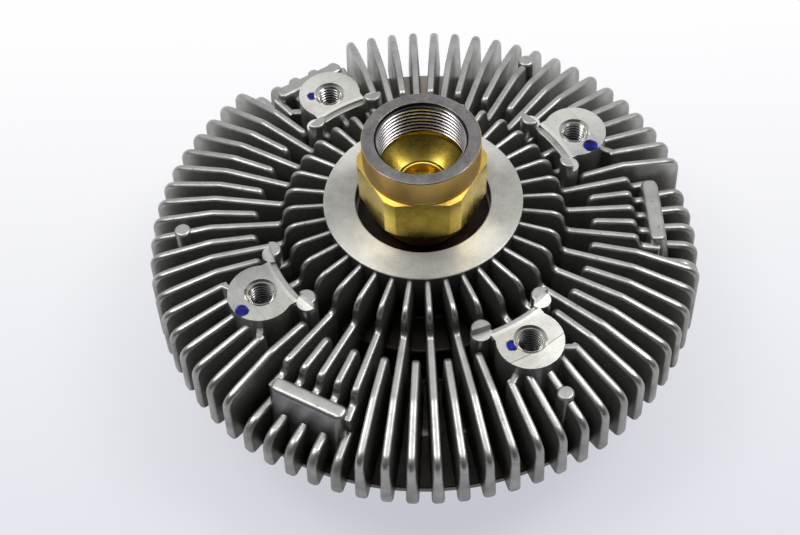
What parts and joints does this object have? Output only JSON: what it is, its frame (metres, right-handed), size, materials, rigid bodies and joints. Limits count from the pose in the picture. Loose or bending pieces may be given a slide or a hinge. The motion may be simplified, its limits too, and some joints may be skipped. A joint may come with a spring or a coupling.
{
  "type": "viscous fan clutch",
  "caption": "Thermostatic viscous fan clutch: finned die-cast housing with bosses for a fan, turning on a shaft whose threaded hexagon screws onto the coolant pump.",
  "frame": {"origin": "On the axis, at the height of the front fins' tips, which the part rests on.", "axes": "+Z runs along the axis from the front cover to the nut's mouth. X and Y lie across it, and +X points through the middle of one pad."},
  "size_m": [0.1776, 0.1776, 0.0903],
  "materials": {
    "cast_aluminium": "satin die-cast skin with turned faces",
    "turned_aluminium": "fine turned",
    "plated_steel": "turned and yellow zinc plated",
    "bearing_steel": "ground",
    "spring_steel": "phosphated",
    "plain_steel": "pressed",
    "bimetal": "rolled strip",
    "cage_brass": "machined",
    "black_rubber": "moulded",
    "brown_rubber": "moulded",
    "wiper_plastic": "moulded"
  },
  "bodies": {
    "housing": {"rear_body": "cast_aluminium", "front_cover": "cast_aluminium", "cover_seal": "black_rubber", "bearing_outer_ring": "bearing_steel", "bearing_rear_seal": "brown_rubber", "bearing_front_seal": "brown_rubber", "bearing_retaining_ring": "spring_steel", "pump_plate": "plain_steel", "pump_plate_rivets": "plain_steel", "pump_wiper": "wiper_plastic", "bimetal_coil": "bimetal", "coil_anchor": "plain_steel", "anchor_rivet": "turned_aluminium"},
    "input": {"input_shaft": "plated_steel", "bearing_inner_ring": "bearing_steel", "rotor": "turned_aluminium", "rotor_retaining_ring": "spring_steel"},
    "cage": {"bearing_balls": "bearing_steel", "bearing_cage": "cage_brass"},
    "valve": {"valve_shaft": "plain_steel", "valve_arm": "plain_steel", "valve_shaft_seal": "black_rubber"}
  },
  "joints": [
    {"name": "input_spin", "type": "hinge", "parent": "housing", "child": "input", "pos_m": [0, 0, 0.048], "axis": [0, 0, 1], "continuous": true},
    {"name": "cage_spin", "type": "hinge", "parent": "housing", "child": "cage", "pos_m": [0, 0, 0.048], "axis": [0, 0, 1], "continuous": true},
    {"name": "valve_turn", "type": "hinge", "parent": "housing", "child": "valve", "pos_m": [0, 0, 0.009], "axis": [0, 0, 1], "range_deg": [0, 35], "stiffness_Nm_per_rad": 0.02, "deforming": ["bimetal_coil"]}
  ],
  "couplings": [
    {"joint": "cage_spin", "follows": "input_spin", "ratio": 0.3815}
  ]
}
